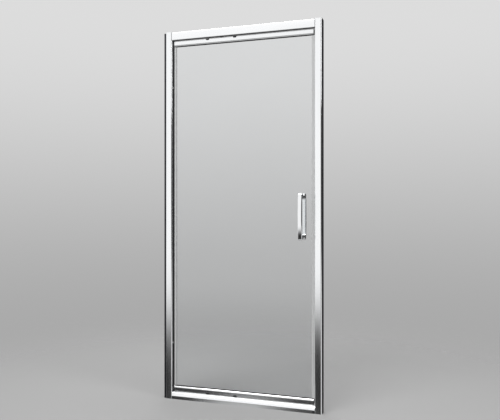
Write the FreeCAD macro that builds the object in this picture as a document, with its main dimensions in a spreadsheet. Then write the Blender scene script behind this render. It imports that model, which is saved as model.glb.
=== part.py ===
import FreeCAD, Part
import math
import os
import re
import Sketcher

# Pivot shower door for a niche: a framed leaf of safety glass that turns about an offset
# upright axis. Millimetres. X runs from the pivot side to the strike side, Y from the room
# into the shower, Z up. The origin is the middle of the frame's footprint.

os.makedirs("parts", exist_ok=True)
doc = FreeCAD.newDocument("PivotShowerDoor")
sheet = doc.addObject("Spreadsheet::Sheet", "Sizes")

# Every size that can be set by itself: name, value, what it is.
SIZES = [
    ("overall_width", 880, "wall to wall"),
    ("overall_height", 2000, "floor to the top of the jamb caps"),
    ("frame_depth", 48, "jambs, top rail and threshold, front to back"),
    ("hinge_reveal", 12, "wall profile left showing beside the pivot-side jamb"),
    ("strike_reveal", 2, "wall profile left showing beside the strike jamb"),
    ("jamb_face", 36, "jamb width seen from the front"),
    ("jamb_wall", 1.8, "extrusion wall of the jambs"),
    ("jamb_web", 2, "jamb web towards the opening"),
    ("jamb_round", 6, "outer corner radius of the jambs"),
    ("lip_straight", 1, "flat end of the lips beside the wall profile"),
    ("slot_mouth", 8, "seal slot in the jamb web, at its mouth"),
    ("slot_inner", 12, "seal slot, inside"),
    ("slot_deep", 4, "seal slot, depth behind the web"),
    ("slot_wall", 1.5, "wall round the seal slot"),
    ("slide_gap", 0.3, "clearance of pieces that slide or clip together"),
    ("press_gap", 0.02, "radial gap of pieces pressed or screwed together"),
    ("channel_leg", 30, "wall profile, length of its legs"),
    ("channel_wall", 1.6, "wall profile, leg thickness"),
    ("channel_back", 2, "wall profile, thickness against the wall"),
    ("wall_hole", 6.5, "fixing holes through the wall profile"),
    ("wall_hole_end", 100, "first fixing hole above the floor"),
    ("wall_hole_count", 4, "fixing holes in each wall profile"),
    ("cap_thickness", 3, "plate of the jamb cap"),
    ("cap_bevel", 0.8, "upper edge of the jamb cap"),
    ("cap_plug", 12, "plug of the jamb cap, depth"),
    ("rail_drop", 2, "jamb end above the top rail"),
    ("top_rail_height", 42, "top rail, front face"),
    ("rail_wall", 1.8, "extrusion wall of the top rail"),
    ("rail_round", 3, "outer corner radius of the top rail"),
    ("head_seal_drop", 3, "top rail seal, below the rail"),
    ("head_seal_deep", 10, "top rail seal, front to back"),
    ("head_seal_inset", 1.8, "top rail seal, behind the rail's front"),
    ("head_seal_wall", 1.2, "top rail seal, thickness of base and fins"),
    ("port_wall", 1.6, "wall round a screw port"),
    ("port_offset", 11.3, "screw ports, from the middle of the depth"),
    ("threshold_height", 40, "threshold, at its highest"),
    ("threshold_front", 16, "threshold, upright part of the front"),
    ("threshold_ramp", 14, "threshold, depth of the bowed front"),
    ("threshold_bow", 30, "threshold, radius of the bowed front"),
    ("threshold_wall", 2, "extrusion wall of the threshold"),
    ("threshold_round", 4, "threshold, rear upper edge"),
    ("end_length", 11, "end piece between threshold and jamb"),
    ("end_proud", 0.5, "end piece, proud of the threshold's front"),
    ("top_gap", 5.5, "free gap above the leaf"),
    ("foot_gap", 3, "free gap below the leaf"),
    ("edge_gap", 9, "glass edge to jamb, bridged by the seals"),
    ("door_rail_height", 25, "leaf rails, height"),
    ("door_rail_depth", 20, "leaf rails, depth"),
    ("door_rail_wall", 2, "extrusion wall of the leaf rails"),
    ("shoulder_height", 8, "leaf rails, rounded shoulder towards the glass"),
    ("shoulder_nose", 1, "leaf rails, flat beside the glass channel"),
    ("rail_mouth", 11, "hardware channel of the leaf rails, at its mouth"),
    ("rail_lip", 1.5, "lips of the hardware channel"),
    ("rail_cap", 2, "end caps of the leaf rails"),
    ("glass_thickness", 6, "safety glass"),
    ("glass_bite", 11, "glass held inside each leaf rail"),
    ("gasket_wall", 3, "glazing gasket beside the glass"),
    ("gasket_base", 2, "glazing gasket under the glass edge"),
    ("gasket_lip", 4, "glazing gasket showing beside the rail"),
    ("gasket_tip", 0.8, "glazing gasket, thickness of its thin edge"),
    ("seal_wall", 1.2, "edge seals, wall of the clip on the glass"),
    ("seal_clip", 10, "edge seals, grip on the glass"),
    ("seal_nose", 2, "pivot-side edge seal, solid nose"),
    ("seal_reach", 7.5, "pivot-side edge seal, reach beyond the glass"),
    ("seal_gap", 0.5, "gap of the closed seals and magnets"),
    ("seal_ends", 0.4, "edge seals, gap to the glazing gaskets"),
    ("magnet_deep", 4.5, "leaf magnet, along the swing line"),
    ("magnet_wide", 6.4, "leaf magnet, across"),
    ("magnet_skin", 0.8, "skin round the leaf magnet"),
    ("stop_reach", 7, "stop fin of the jamb strips, over the leaf edge"),
    ("stop_wall", 1.2, "stop fin, thickness"),
    ("stop_gap", 1, "stop fin, clear of the edge seal"),
    ("drip_reach", 2.6, "drip seal below the leaf's bottom rail"),
    ("drip_fin", 1.1, "drip seal, thickness of a fin"),
    ("pivot_inset", 330, "pivot axis from the pivot-side wall"),
    ("pin_diameter", 10, "pivot pins"),
    ("pin_fit", 0.05, "radial running clearance of a pin in its bush"),
    ("pin_engage", 12, "top pin inside the frame"),
    ("bush_wall", 1.5, "wall of the pivot bushes"),
    ("flange_wall", 2.5, "bush flange, width beyond the bush"),
    ("flange_thick", 1.2, "bush flange, thickness"),
    ("block_length", 70, "pivot blocks in the frame"),
    ("block_width", 19, "pivot block in the threshold, front to back"),
    ("block_height", 15, "pivot blocks, height"),
    ("block_screw", 24, "pivot block screws, from the axis"),
    ("carrier_length", 174, "pivot carriers in the leaf rails"),
    ("carrier_height", 8, "pivot carriers, inside the channel"),
    ("carrier_strap", 1.4, "pivot carriers, thickness of strap and lugs"),
    ("lug_width", 19, "pivot carrier lugs, width"),
    ("lug_drop", 6, "pivot carrier lugs, drop over the rail face"),
    ("lug_round", 5, "pivot carrier lugs, lower corners"),
    ("carrier_screw", 52, "pivot carrier screws, from the axis"),
    ("screw_diameter", 4, "frame and hardware screws"),
    ("screw_head", 7, "head of those screws"),
    ("screw_head_tall", 2.6, "height of that head"),
    ("frame_screw", 27, "frame screws, below the head"),
    ("block_screw_length", 12, "countersunk screws of the pivot blocks"),
    ("carrier_screw_length", 10, "pivot carrier screws, below the head"),
    ("lock_screw", 5, "profile screws through the jamb web"),
    ("lock_head", 9, "head of the profile screws"),
    ("lock_head_tall", 4, "height of that head"),
    ("lock_end", 305, "profile screws, from the floor and from the top"),
    ("nut_block_tall", 20, "nut blocks of the profile screws, height"),
    ("nut_block_deep", 16, "nut blocks, out from the wall profile"),
    ("nut_block_wide", 7, "nut blocks, across"),
    ("handle_height", 995, "middle of the pull handles"),
    ("handle_inset", 62, "handle axis from the strike edge of the glass"),
    ("handle_spacing", 202, "distance between the handle feet"),
    ("handle_length", 242, "handle, end to end"),
    ("handle_width", 23, "handle bar, seen from the front"),
    ("handle_foot", 12, "handle feet, height"),
    ("handle_reach", 50, "glass to the bar's outer face at its middle"),
    ("handle_bar", 13, "handle bar, thickness at its middle"),
    ("handle_arch", 4, "rise of the bowed outer face"),
    ("handle_tip", 9, "rounded ends of the bar, height"),
    ("handle_tip_bow", 9, "rounded ends of the bar, radius"),
    ("handle_corner", 6, "inner corners of the handle"),
    ("handle_round", 4.5, "outer edges of the handle"),
    ("handle_pad", 1, "soft pads between handle and glass"),
    ("pad_inset", 1.5, "soft pads, set in from the foot's edges"),
    ("glass_hole", 12, "holes through the glass"),
    ("stud_diameter", 6, "studs that join the two handles"),
    ("stud_bite", 10, "stud inside a handle foot"),
]

for row, (alias, size, meaning) in enumerate(SIZES, start=1):
    sheet.set(f"A{row}", meaning)
    sheet.set(f"B{row}", str(size))
    sheet.setAlias(f"B{row}", alias)
doc.recompute()

ALIASES = {alias for alias, size, meaning in SIZES}
X_AXIS = FreeCAD.Vector(1, 0, 0)
Y_AXIS = FreeCAD.Vector(0, 1, 0)
Z_AXIS = FreeCAD.Vector(0, 0, 1)
HINGE_SIDE = -1
STRIKE_SIDE = 1
nodes = []

# ---- Places worked out from the sizes, written as expressions in their names
half_depth = "(frame_depth / 2)"
jamb_top = "(overall_height - cap_thickness)"
rail_top = f"({jamb_top} - rail_drop)"
rail_under = f"({rail_top} - top_rail_height)"
leaf_top = f"({rail_under} - top_gap)"
leaf_bottom = "(threshold_height + foot_gap)"
sight_top = f"({leaf_top} - door_rail_height)"
sight_bottom = f"({leaf_bottom} + door_rail_height)"
hinge_face = "(-overall_width / 2 + hinge_reveal + jamb_face)"
strike_face = "(overall_width / 2 - strike_reveal - jamb_face)"
glass_start = f"({hinge_face} + edge_gap)"
glass_end = f"({strike_face} - edge_gap)"
half_glass = "(glass_thickness / 2)"
seal_low = f"({sight_bottom} + gasket_lip + seal_ends)"
seal_high = f"({sight_top} - gasket_lip - seal_ends)"
pivot_x = "(-overall_width / 2 + pivot_inset)"
pin_bore = "(pin_diameter + 2 * pin_fit)"
bush_outer = f"({pin_bore} + 2 * bush_wall)"
bush_hole = f"({bush_outer} + 2 * press_gap)"
screw_hole = "(screw_diameter + 2 * press_gap)"
handle_x = f"({glass_end} - handle_inset)"
port_reach = "(screw_diameter / 2 + port_wall)"
block_roof = f"({rail_under} + rail_wall + block_height + slide_gap)"
top_port = f"({block_roof} + rail_wall + {port_reach})"
low_port = f"(threshold_wall + {port_reach})"
lip_half = f"({half_depth} - jamb_round - lip_straight)"
channel_half = f"({lip_half} - slide_gap)"
channel_inner = f"({channel_half} - channel_wall)"
rail_half = "(door_rail_depth / 2)"
glass_slot = f"({half_glass} + gasket_wall)"
slot_floor = "(glass_bite + gasket_base)"
hardware_floor = f"({slot_floor} + door_rail_wall)"
hardware_half = f"({rail_half} - door_rail_wall)"
seal_half = f"({half_glass} + seal_wall)"
shoulder_start = f"({glass_slot} + shoulder_nose)"
shoulder_depth = f"({rail_half} - {shoulder_start})"
shoulder_bow = f"(({shoulder_depth} ^ 2 + shoulder_height ^ 2) / (2 * {shoulder_depth}))"


# ---- Helpers
def number(text):
    """The value of an expression in the names of the sheet."""
    return float(sheet.evalExpression(text))


def bind(thing, path, text):
    """Ties a property to an expression in the names of the sheet."""
    words = re.sub(r"[a-z][a-z_]*", lambda w: f"Sizes.{w[0]}" if w[0] in ALIASES else w[0], text)
    thing.setExpression(path, words)


def new_body(label):
    body = doc.addObject("PartDesign::Body", label)
    body.Label = label
    return body


def sketch(body, plane, name, offset="0"):
    """A sketch on a plane of the body's own origin, moved along that plane's normal."""
    made = body.newObject("Sketcher::SketchObject", name)
    origin_plane = next(f for f in body.Origin.OriginFeatures if f.Role == plane)
    made.AttachmentSupport = [(origin_plane, "")]
    made.MapMode = "FlatFace"
    bind(made, "AttachmentOffset.Base.z", offset)
    return made


def hold_point(made, line, end, across, up):
    """Holds a point of a sketch at two expressions."""
    for kind, text in (("DistanceX", across), ("DistanceY", up)):
        held = made.addConstraint(Sketcher.Constraint(kind, -1, 1, line, end, number(text)))
        bind(made, f"Constraints[{held}]", text)


def arc_between(here, there, radius, bulge):
    """The shorter arc between two points. It bulges to the right of the way between them
    where bulge is 1, and to the left where it is -1."""
    chord = there - here
    right = FreeCAD.Vector(chord.y, -chord.x, 0).normalize()
    depth = math.sqrt(radius ** 2 - (chord.Length / 2) ** 2)
    centre = (here + there) / 2 - right * (bulge * depth)
    ends = [here, there] if bulge > 0 else [there, here]
    angles = [math.atan2(p.y - centre.y, p.x - centre.x) for p in ends]
    return Part.ArcOfCircle(Part.Circle(centre, Z_AXIS, radius), angles[0], angles[1])


def outline(made, corners):
    """A closed outline. A corner is (across, up), or (across, up, radius, bulge) where the
    way to the next corner is an arc."""
    first = made.GeometryCount
    points = [FreeCAD.Vector(number(c[0]), number(c[1]), 0) for c in corners]
    starts = []
    for i, corner in enumerate(corners):
        there = points[(i + 1) % len(points)]
        if len(corner) == 2:
            made.addGeometry(Part.LineSegment(points[i], there), False)
            starts.append(1)
        else:
            made.addGeometry(arc_between(points[i], there, number(corner[2]), corner[3]), False)
            starts.append(1 if corner[3] > 0 else 2)
    for i, corner in enumerate(corners):
        after = (i + 1) % len(corners)
        made.addConstraint(
            Sketcher.Constraint("Coincident", first + i, 3 - starts[i], first + after, starts[after]))
        hold_point(made, first + i, starts[i], corner[0], corner[1])
        if len(corner) > 2:
            held = made.addConstraint(Sketcher.Constraint("Radius", first + i, number(corner[2])))
            bind(made, f"Constraints[{held}]", corner[2])


def box_outline(made, low_across, high_across, low_up, high_up):
    corners = [(low_across, low_up), (high_across, low_up), (high_across, high_up), (low_across, high_up)]
    outline(made, corners)


def ring(made, across, up, diameter):
    """A circle in a sketch."""
    line = made.GeometryCount
    centre = FreeCAD.Vector(number(across), number(up), 0)
    made.addGeometry(Part.Circle(centre, Z_AXIS, number(diameter) / 2), False)
    hold_point(made, line, 3, across, up)
    held = made.addConstraint(Sketcher.Constraint("Diameter", line, number(diameter)))
    bind(made, f"Constraints[{held}]", diameter)


def pad(body, made, length, name, reverse=False, both=False):
    solid = body.newObject("PartDesign::Pad", name)
    solid.Profile = made
    bind(solid, "Length", length)
    solid.Reversed = reverse
    solid.Midplane = both
    doc.recompute()
    return solid


def check_cut(body, hole, before):
    """Stops the build where a cut took nothing away."""
    doc.recompute()
    if hole.Shape.Volume > before - 1e-3:
        raise RuntimeError(f"{body.Label}: {hole.Name} cuts nothing")
    return hole


def pocket(body, made, length, name, reverse=False):
    before = body.Shape.Volume
    hole = body.newObject("PartDesign::Pocket", name)
    hole.Profile = made
    bind(hole, "Length", length)
    hole.Reversed = reverse
    return check_cut(body, hole, before)


def turned(body, made, name):
    """A sketch turned full circle about its own upright axis."""
    solid = body.newObject("PartDesign::Revolution", name)
    solid.Profile = made
    solid.ReferenceAxis = (made, ["V_Axis"])
    solid.Angle = 360
    doc.recompute()
    return solid


def straight_edges(shape, axis, spots):
    """Names of the edges along an axis that pass through the given spots."""
    names = []
    for index, edge in enumerate(shape.Edges, start=1):
        if edge.Curve.TypeId != "Part::GeomLine":
            continue
        start, finish = (v.Point for v in edge.Vertexes)
        if (finish - start).cross(axis).Length > 1e-6 * edge.Length:
            continue
        if any((spot - start).cross(axis).Length < 1e-3 for spot in spots):
            names.append(f"Edge{index}")
    return names


def dress(body, base, kind, size_name, size, edges, name):
    """Rounds or bevels the named edges of a feature."""
    dressed = body.newObject(f"PartDesign::{kind}", name)
    dressed.Base = (base, edges)
    bind(dressed, size_name, size)
    doc.recompute()
    return dressed


def soften(body, base, radius, edges, name):
    return dress(body, base, "Fillet", "Radius", radius, edges, name)


def copies(label, master, places):
    """One node of separate solids: a master piece at several places, each an (x, y, z) of
    expressions and a rotation."""
    group = doc.addObject("Part::Compound", label)
    group.Label = label
    links = []
    for place, rotation in places:
        link = doc.addObject("App::Link", f"{label}_copy")
        link.LinkedObject = master
        link.LinkTransform = False
        link.Placement = FreeCAD.Placement(FreeCAD.Vector(), rotation)
        for letter, text in zip("xyz", place):
            bind(link, f"Placement.Base.{letter}", text)
        links.append(link)
    group.Links = links
    nodes.append(group)


AS_MADE = FreeCAD.Rotation()
HEAD_TO_HINGE = FreeCAD.Rotation(Y_AXIS, -90)
HEAD_TO_STRIKE = FreeCAD.Rotation(Y_AXIS, 90)
HEAD_DOWN = FreeCAD.Rotation(X_AXIS, 180)


# ---- Wall profiles, jambs and jamb caps
def outward(face, side, distance):
    """A place behind a jamb's opening face, towards its wall."""
    sign = "+" if side > 0 else "-"
    return f"({face} {sign} ({distance}))"


def both_depths(face, side, distance, depth):
    """Two upright lines of a jamb, front and back."""
    x = number(outward(face, side, distance))
    y = number(depth)
    return [FreeCAD.Vector(x, y, 0), FreeCAD.Vector(x, -y, 0)]


def wall_profile(label, face, side, reveal):
    """A channel on the wall, over which the jamb slides to take up the niche's width."""
    body = new_body(label)
    wall = outward(face, side, f"jamb_face + {reveal}")
    back = outward(face, side, f"jamb_face + {reveal} - channel_back")
    tip = outward(face, side, f"jamb_face + {reveal} - channel_leg")
    section = sketch(body, "XY_Plane", "ChannelSection")
    outline(section, [
        (wall, f"-{channel_half}"), (wall, channel_half), (tip, channel_half), (tip, channel_inner),
        (back, channel_inner), (back, f"-{channel_inner}"), (tip, f"-{channel_inner}"),
        (tip, f"-{channel_half}")])
    pad(body, section, rail_top, "Channel")
    first = sketch(body, "YZ_Plane", "FirstHole", wall)
    ring(first, "0", "wall_hole_end", "wall_hole")
    hole = pocket(body, first, "channel_back", "FixingHole", reverse=(side == HINGE_SIDE))
    row = body.newObject("PartDesign::LinearPattern", "FixingHoles")
    row.Originals = [hole]
    row.Direction = (next(f for f in body.Origin.OriginFeatures if f.Role == "Z_Axis"), [""])
    bind(row, "Length", "overall_height - 2 * wall_hole_end")
    bind(row, "Occurrences", "wall_hole_count")
    body.Tip = row
    check_cut(body, row, hole.Shape.Volume)
    nodes.append(body)


def jamb(label, face, side):
    """A section closed towards the opening, with a slot for its seal strip, and lips that
    close round the wall profile."""
    body = new_body(label)
    skin = f"({half_depth} - jamb_wall)"
    tip = "jamb_face - jamb_wall"
    slot_outer = "(slot_inner / 2 + slot_wall)"
    shell = [("0", half_depth), ("jamb_face", half_depth), ("jamb_face", lip_half), (tip, lip_half),
             (tip, skin), ("jamb_web", skin), ("jamb_web", slot_outer),
             ("jamb_web + slot_deep + slot_wall", slot_outer)]
    slot = [("0", "(slot_mouth / 2)"), ("jamb_web", "(slot_mouth / 2)"), ("jamb_web", "(slot_inner / 2)"),
            ("jamb_web + slot_deep", "(slot_inner / 2)")]
    front_to_back = [(a, f"-{y}") for a, y in shell] + shell[::-1]
    front_to_back += slot + [(a, f"-{y}") for a, y in slot[::-1]]
    section = sketch(body, "XY_Plane", "JambSection")
    outline(section, [(outward(face, side, a), y) for a, y in front_to_back])
    bar = pad(body, section, jamb_top, "Bar")
    spots = both_depths(face, side, "0", half_depth) + both_depths(face, side, "jamb_face", half_depth)
    rounded = soften(body, bar, "jamb_round", straight_edges(bar.Shape, Z_AXIS, spots), "OuterCorners")
    spots = both_depths(face, side, tip, skin) + both_depths(face, side, "jamb_web", skin)
    edges = straight_edges(rounded.Shape, Z_AXIS, spots)
    soften(body, rounded, "jamb_round - jamb_web", edges, "InnerCorners")
    frame_holes = sketch(body, "YZ_Plane", "FrameHoles", face)
    for depth in ("-port_offset", "port_offset"):
        ring(frame_holes, depth, top_port, "screw_diameter + 2 * slide_gap")
        ring(frame_holes, depth, low_port, "screw_diameter + 2 * slide_gap")
    into_web = side == STRIKE_SIDE
    pocket(body, frame_holes, "jamb_web", "FrameScrewHoles", reverse=into_web)
    lock_holes = sketch(body, "YZ_Plane", "LockHoles", face)
    for height in ("lock_end", "overall_height - lock_end"):
        ring(lock_holes, "-port_offset", height, "lock_screw + 2 * press_gap")
    pocket(body, lock_holes, "jamb_web", "ProfileScrewHoles", reverse=into_web)
    nodes.append(body)


def jamb_cap(label, face, side):
    """A moulded cap on the jamb's upper end, with a plug that fits inside the section."""
    body = new_body(label)
    plate = sketch(body, "XY_Plane", "PlateOutline", jamb_top)
    box_outline(plate, face, outward(face, side, "jamb_face"), f"-{half_depth}", half_depth)
    lid = pad(body, plate, "cap_thickness", "Plate")
    spots = both_depths(face, side, "0", half_depth) + both_depths(face, side, "jamb_face", half_depth)
    rounded = soften(body, lid, "jamb_round", straight_edges(lid.Shape, Z_AXIS, spots), "Corners")
    top = [f"Edge{i}" for i, edge in enumerate(rounded.Shape.Edges, start=1)
           if edge.BoundBox.ZMin > number("overall_height") - 1e-3]
    dress(body, rounded, "Chamfer", "Size", "cap_bevel", top, "UpperEdge")
    plug = sketch(body, "XY_Plane", "PlugOutline", jamb_top)
    box_outline(plug, outward(face, side, "jamb_web + slot_deep + slot_wall + slide_gap"),
                outward(face, side, "jamb_face - jamb_wall - slide_gap"),
                f"-({channel_inner} - slide_gap)", f"({channel_inner} - slide_gap)")
    pad(body, plug, "cap_plug", "Plug", reverse=True)
    nodes.append(body)


# ---- Top rail, threshold and its end pieces
def port_floor(floor, reach):
    """Front-to-back corners of a chamber floor on which two screw ports stand."""
    near = f"(port_offset - {port_reach})"
    far = f"(port_offset + {port_reach})"
    crown = f"({floor} + 2 * {port_reach})"
    half = [(near, floor), (near, crown), (far, crown), (far, floor), (reach, floor)]
    return [(f"-{y}", z) for y, z in half[::-1]] + half


def ports(section, height):
    for depth in ("-port_offset", "port_offset"):
        ring(section, depth, height, screw_hole)


def pivot_holes(body, height, depth, bore, name, reverse):
    """The pivot's hole and two countersunk screw holes beside it."""
    holes = sketch(body, "XY_Plane", f"{name}Outline", height)
    ring(holes, pivot_x, "0", bore)
    for sign in "-+":
        ring(holes, f"({pivot_x} {sign} block_screw)", "0", screw_hole)
    return pocket(body, holes, depth, name, reverse=reverse)


def countersink(body, base, height):
    """Bevels the two screw holes beside the pivot at the given height."""
    edges = []
    for index, edge in enumerate(base.Shape.Edges, start=1):
        is_ring = edge.Curve.TypeId == "Part::GeomCircle" and len(edge.Vertexes) == 1
        if is_ring and abs(edge.Curve.Radius - number(screw_hole) / 2) < 1e-4:
            centre = edge.Curve.Center
            if abs(centre.z - number(height)) < 1e-4 and abs(centre.y) < 1e-4:
                edges.append(f"Edge{index}")
    dress(body, base, "Chamfer", "Size", "(screw_head - screw_diameter) / 2", edges, "Countersinks")


def top_rail():
    """Hollow extrusion between the jambs: pivot block chamber below, screw ports above."""
    body = new_body("top_rail")
    skin = f"({half_depth} - rail_wall)"
    section = sketch(body, "YZ_Plane", "RailSection", hinge_face)
    box_outline(section, f"-{half_depth}", half_depth, rail_under, rail_top)
    box_outline(section, f"-{skin}", skin, f"({rail_under} + rail_wall)", block_roof)
    ceiling = f"({rail_top} - rail_wall)"
    above = port_floor(f"({block_roof} + rail_wall)", skin)
    outline(section, above + [(skin, ceiling), (f"-{skin}", ceiling)])
    ports(section, top_port)
    bar = pad(body, section, f"{strike_face} - {hinge_face}", "Bar")
    spots = [FreeCAD.Vector(0, sign * number(half_depth), number(z))
             for sign in (-1, 1) for z in (rail_under, rail_top)]
    soften(body, bar, "rail_round", straight_edges(bar.Shape, X_AXIS, spots), "Corners")
    holes = pivot_holes(body, rail_under, "rail_wall", bush_hole, "PivotHoles", reverse=True)
    countersink(body, holes, rail_under)
    nodes.append(body)


def top_rail_seal():
    """Dark strip under the top rail, with two fins over the gap above the leaf."""
    body = new_body("top_rail_seal")
    front = f"(-{half_depth} + head_seal_inset)"
    back = f"({front} + head_seal_deep)"
    base = f"({rail_under} - head_seal_wall)"
    tip = f"({rail_under} - head_seal_drop)"
    section = sketch(body, "YZ_Plane", "SealSection", hinge_face)
    outline(section, [
        (front, rail_under), (front, tip), (f"({front} + head_seal_wall)", tip),
        (f"({front} + head_seal_wall)", base), (f"({back} - head_seal_wall)", base),
        (f"({back} - head_seal_wall)", tip), (back, tip), (back, rail_under)])
    pad(body, section, f"{strike_face} - {hinge_face}", "Strip")
    nodes.append(body)


def ramp_section(section, proud):
    """Upright front, bowed ramp, flat top and upright back."""
    front = f"(-{half_depth} - {proud})"
    outline(section, [
        (front, "0"), (half_depth, "0"), (half_depth, "threshold_height"),
        (f"(-{half_depth} + threshold_ramp)", "threshold_height", "threshold_bow", 1),
        (front, "threshold_front")])


def rear_edge(body, base):
    spot = FreeCAD.Vector(0, number(half_depth), number("threshold_height"))
    return soften(body, base, "threshold_round", straight_edges(base.Shape, X_AXIS, [spot]), "RearEdge")


def threshold():
    """Hollow extrusion on the floor: screw ports low down, pivot block chamber above."""
    body = new_body("threshold")
    skin = f"({half_depth} - threshold_wall)"
    roof = "(threshold_height - threshold_wall)"
    shelf = f"({roof} - block_height - slide_gap)"
    chamber = "(block_width / 2 + slide_gap)"
    beside = f"({chamber} + threshold_wall)"
    section = sketch(body, "YZ_Plane", "ThresholdSection", f"({hinge_face} + end_length)")
    ramp_section(section, "0")
    under_shelf = f"({shelf} - threshold_wall)"
    outline(section, port_floor("threshold_wall", skin) + [(skin, under_shelf), (f"-{skin}", under_shelf)])
    box_outline(section, f"-{chamber}", chamber, shelf, roof)
    box_outline(section, beside, skin, shelf, roof)
    outline(section, [
        (f"(-{half_depth} + 2 * threshold_wall)", shelf), (f"-{beside}", shelf),
        (f"-{beside}", f"({roof} - 2 * threshold_wall)")])
    ports(section, low_port)
    bar = pad(body, section, f"{strike_face} - {hinge_face} - 2 * end_length", "Bar")
    rear_edge(body, bar)
    through = f"({pin_bore} + 2 * slide_gap)"
    holes = pivot_holes(body, "threshold_height", "threshold_wall", through, "PivotHoles", reverse=False)
    countersink(body, holes, "threshold_height")
    nodes.append(body)


def threshold_end(label, start):
    """Moulded end piece between the threshold and a jamb."""
    body = new_body(label)
    section = sketch(body, "YZ_Plane", "EndSection", start)
    ramp_section(section, "end_proud")
    for depth in ("-port_offset", "port_offset"):
        ring(section, depth, low_port, "screw_diameter + 2 * slide_gap")
    rear_edge(body, pad(body, section, "end_length", "Block"))
    nodes.append(body)


# ---- Jamb strips: the soft and magnetic strips in the jambs' slots
def jamb_strip(label, face, side, head, fin):
    """A strip held in the jamb's slot. Its fin stops the leaf's edge, in front of it where
    fin is "-" and behind it where fin is ""."""
    body = new_body(label)
    other = "" if fin else "-"
    base_low = "jamb_web + slide_gap"
    base_high = "jamb_web + slot_deep - slide_gap"
    base_half = "(slot_inner / 2 - slide_gap)"
    neck_half = "(slot_mouth / 2 - slide_gap)"
    fin_inner = f"({seal_half} + stop_gap)"
    fin_outer = f"({seal_half} + stop_gap + stop_wall)"
    corners = [
        (base_high, f"{fin}{base_half}"), (base_low, f"{fin}{base_half}"), (base_low, f"{fin}{neck_half}"),
        ("0", f"{fin}{neck_half}"), ("0", f"{fin}{fin_outer}"), ("-stop_reach", f"{fin}{fin_outer}"),
        ("-stop_reach", f"{fin}{fin_inner}"), (f"-({head})", f"{fin}{fin_inner}"),
        (f"-({head})", f"{other}{fin_inner}"), ("0", f"{other}{fin_inner}"), ("0", f"{other}{neck_half}"),
        (base_low, f"{other}{neck_half}"), (base_low, f"{other}{base_half}"),
        (base_high, f"{other}{base_half}")]
    section = sketch(body, "XY_Plane", "StripSection", seal_low)
    outline(section, [(outward(face, side, a), y) for a, y in corners])
    pad(body, section, f"{seal_high} - {seal_low}", "Strip")
    nodes.append(body)


# ---- Leaf: glass, rails, gaskets and edge seals
def glass_panel():
    body = new_body("glass_panel")
    face = sketch(body, "XZ_Plane", "Pane")
    box_outline(face, glass_start, glass_end, f"({sight_bottom} - glass_bite)", f"({sight_top} + glass_bite)")
    for sign in "-+":
        ring(face, handle_x, f"(handle_height {sign} handle_spacing / 2)", "glass_hole")
    pad(body, face, "glass_thickness", "Glass", both=True)
    nodes.append(body)


def from_glass(upper, distance):
    """A height measured from a rail's glass edge towards the frame."""
    return f"({sight_top} + ({distance}))" if upper else f"({sight_bottom} - ({distance}))"


def back_shoulder(bulge):
    """The rail's outer corners at the back. An arc runs from the glass side into the face."""
    return [(shoulder_start, "0", shoulder_bow, bulge), (rail_half, "shoulder_height"),
            (rail_half, "door_rail_height")]


def front_shoulder(bulge):
    return [(f"-{rail_half}", "door_rail_height"), (f"-{rail_half}", "shoulder_height", shoulder_bow, bulge),
            (f"-{shoulder_start}", "0")]


def door_rail(label, upper):
    """Extrusion with a glass channel on one side and a hardware channel on the other."""
    body = new_body(label)
    bulge = 1 if upper else -1
    lip = "(door_rail_height - rail_lip)"
    mouth = "(rail_mouth / 2)"
    channel = [(mouth, "door_rail_height"), (mouth, lip), (hardware_half, lip),
               (hardware_half, hardware_floor)]
    slot = [(f"-{glass_slot}", "0"), (f"-{glass_slot}", slot_floor), (glass_slot, slot_floor),
            (glass_slot, "0")]
    corners = back_shoulder(bulge) + channel + [(f"-{y}", q) for y, q in channel[::-1]]
    corners += front_shoulder(bulge) + slot
    section = sketch(body, "YZ_Plane", "RailSection", glass_start)
    outline(section, [(c[0], from_glass(upper, c[1])) + tuple(c[2:]) for c in corners])
    pad(body, section, f"{glass_end} - {glass_start}", "Bar")
    holes = sketch(body, "XY_Plane", "CarrierHoles", from_glass(upper, hardware_floor))
    for sign in "-+":
        ring(holes, f"({pivot_x} {sign} carrier_screw)", "0", screw_hole)
    pocket(body, holes, "door_rail_wall", "CarrierScrewHoles", reverse=not upper)
    notch = sketch(body, "XY_Plane", "PivotNotch", from_glass(upper, "door_rail_height"))
    ring(notch, pivot_x, "0", f"(2 * {hardware_half})")
    pocket(body, notch, "rail_lip", "PivotNotchCut", reverse=not upper)
    nodes.append(body)


def rail_end_caps(label, upper):
    body = new_body(f"{label}_master")
    bulge = 1 if upper else -1
    corners = back_shoulder(bulge) + front_shoulder(bulge)
    section = sketch(body, "YZ_Plane", "CapSection")
    outline(section, [(c[0], from_glass(upper, c[1])) + tuple(c[2:]) for c in corners])
    pad(body, section, "rail_cap", "Plate")
    copies(label, body, [((start, "0", "0"), AS_MADE) for start in (f"{glass_start} - rail_cap", glass_end)])


def glazing_gasket(label, upper):
    """Soft U round the glass edge, with a thin lip on the glass that shows beside the rail."""
    body = new_body(label)
    half = [(half_glass, "glass_bite"), (half_glass, "-gasket_lip"),
            (f"({half_glass} + gasket_tip)", "-gasket_lip"), (glass_slot, "0"), (glass_slot, slot_floor)]
    section = sketch(body, "YZ_Plane", "GasketSection", glass_start)
    corners = half + [(f"-{y}", q) for y, q in half[::-1]]
    outline(section, [(y, from_glass(upper, q)) for y, q in corners])
    pad(body, section, f"{glass_end} - {glass_start}", "Strip")
    nodes.append(body)


def clip_corners():
    """The part of an edge seal that grips the glass, from its front leg to its back leg."""
    return [("-seal_clip", f"-{seal_half}"), ("-seal_clip", f"-{half_glass}"), ("0", f"-{half_glass}"),
            ("0", half_glass), ("-seal_clip", half_glass), ("-seal_clip", seal_half)]


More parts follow.
